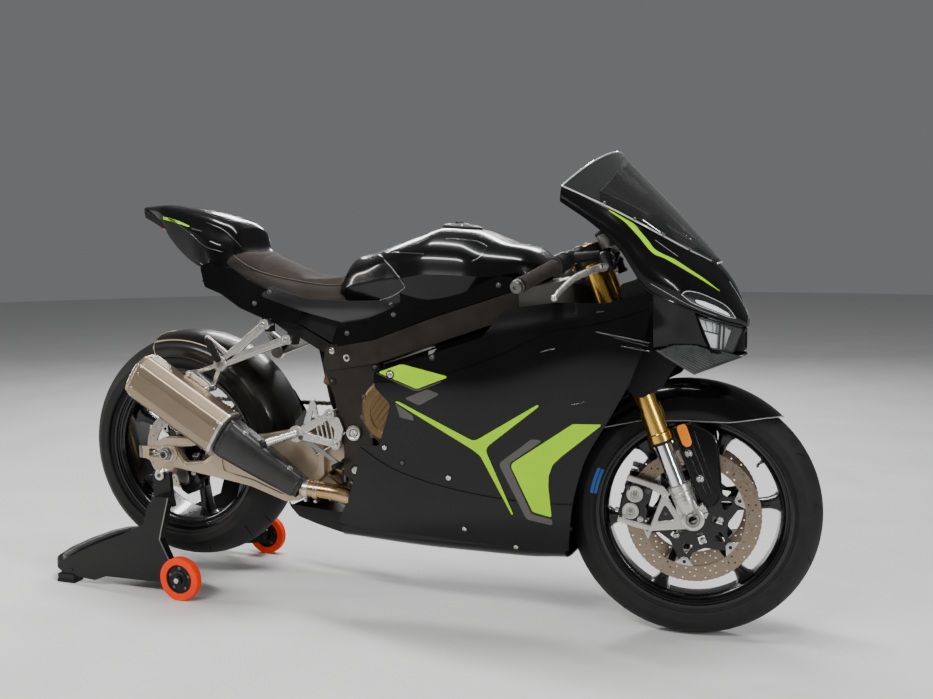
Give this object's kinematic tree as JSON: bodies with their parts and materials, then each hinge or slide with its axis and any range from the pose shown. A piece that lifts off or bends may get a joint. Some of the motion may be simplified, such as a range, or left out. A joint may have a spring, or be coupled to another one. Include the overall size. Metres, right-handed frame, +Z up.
{
  "type": "sport motorcycle on a rear paddock stand",
  "caption": "Faired sport motorcycle with inverted fork, twin front discs, winglets and a side silencer, held upright by a rear paddock stand.",
  "frame": {"origin": "on the floor under the middle of the whole outline, 16 mm to the right of the motorcycle's centre plane, because the turned handlebars reach further to the right", "axes": "+X forward, +Y to the rider's left, +Z up"},
  "size_m": [2.0947, 0.7416, 1.157],
  "materials": {
    "gloss_black": "high gloss",
    "satin_black": "satin",
    "frame_black": "matt",
    "carbon": "gloss over a woven pattern",
    "seat_leather": "suede-like, piped",
    "tyre_rubber": "matt",
    "rim_black": "gloss",
    "disc_steel": "ground",
    "titanium": "satin",
    "silver_alloy": "bead-blasted",
    "gold": "anodised",
    "chrome_tube": "polished",
    "bronze": "satin",
    "engine_grey": "matt",
    "chain_steel": "satin",
    "smoked_screen": "clear, smoked",
    "lamp_lens": "clear",
    "tail_lens": "gloss",
    "grip_rubber": "matt",
    "orange_wheel": "satin"
  },
  "bodies": {
    "root": {"alternator_cover": "engine_grey", "belly_pan": "satin_black", "clutch_cover": "bronze", "drive_chain": "chain_steel", "engine_block": "engine_grey", "exhaust_pipe": "titanium", "fairing_stay": "satin_black", "fuel_tank": "gloss_black", "headlights": "lamp_lens", "heat_shield": "satin_black", "instrument_panel": "satin_black", "main_frame": "frame_black", "nose_cheeks": "gloss_black", "nose_duct": "satin_black", "paddock_stand": "satin_black", "passenger_footrests": "silver_alloy", "radiator": "engine_grey", "rear_axle": "silver_alloy", "rear_caliper": "silver_alloy", "rear_hugger": "gloss_black", "rear_shock": "chain_steel", "rider_footrests": "silver_alloy", "rider_seat": "seat_leather", "seat_side_panels": "carbon", "side_fairing_left": "gloss_black", "side_fairing_right": "gloss_black", "side_stand_bracket": "satin_black", "silencer": "titanium", "subframe": "satin_black", "swingarm_arm_left": "silver_alloy", "swingarm_arm_right": "silver_alloy", "swingarm_bridge": "silver_alloy", "swingarm_cross_tube": "silver_alloy", "swingarm_pivot": "silver_alloy", "tail_cowl": "gloss_black", "tail_light": "tail_lens", "upper_fairing": "gloss_black", "windscreen": "smoked_screen", "winglets": "carbon"},
    "steering": {"fork_outer_tubes": "gold", "fork_inner_tubes": "chrome_tube", "fork_lugs": "silver_alloy", "front_calipers": "silver_alloy", "front_axle": "silver_alloy", "triple_clamps": "satin_black", "handlebars": "satin_black", "handlebar_grips": "grip_rubber", "control_levers": "silver_alloy", "front_fender": "gloss_black", "fork_guards": "satin_black"},
    "front_wheel": {"front_rim": "rim_black", "front_tyre": "tyre_rubber", "front_discs": "disc_steel"},
    "rear_wheel": {"rear_rim": "rim_black", "rear_tyre": "tyre_rubber", "rear_disc": "disc_steel", "rear_sprocket": "chain_steel"},
    "side_stand": {"side_stand": "satin_black"},
    "stand_wheel_right": {"stand_wheel_right": "orange_wheel"},
    "stand_wheel_left": {"stand_wheel_left": "orange_wheel"}
  },
  "joints": [
    {"name": "steering_turn", "type": "hinge", "parent": "root", "child": "steering", "pos_m": [0.54, 0.01614, 0.74331], "axis": [-0.3697, 0, 0.9291], "range_deg": [-33.3, 16.7]},
    {"name": "front_wheel_spin", "type": "hinge", "parent": "steering", "child": "front_wheel", "pos_m": [0.74948, 0.02061, 0.29967], "axis": [-0.1341, 0.9895, -0.0534], "continuous": true},
    {"name": "rear_wheel_spin", "type": "hinge", "parent": "root", "child": "rear_wheel", "pos_m": [-0.6502, 0.01614, 0.377], "axis": [0, 1, 0], "continuous": true},
    {"name": "side_stand_swing", "type": "hinge", "parent": "root", "child": "side_stand", "pos_m": [-0.1522, 0.18415, 0.262], "axis": [-0.0183, -0.8959, -0.4439], "range_deg": [0, 105.6]},
    {"name": "stand_wheel_right_spin", "type": "hinge", "parent": "root", "child": "stand_wheel_right", "pos_m": [-0.5672, -0.20811, 0.0585], "axis": [0, 1, 0], "continuous": true},
    {"name": "stand_wheel_left_spin", "type": "hinge", "parent": "root", "child": "stand_wheel_left", "pos_m": [-0.5672, 0.24039, 0.0585], "axis": [0, 1, 0], "continuous": true}
  ]
}
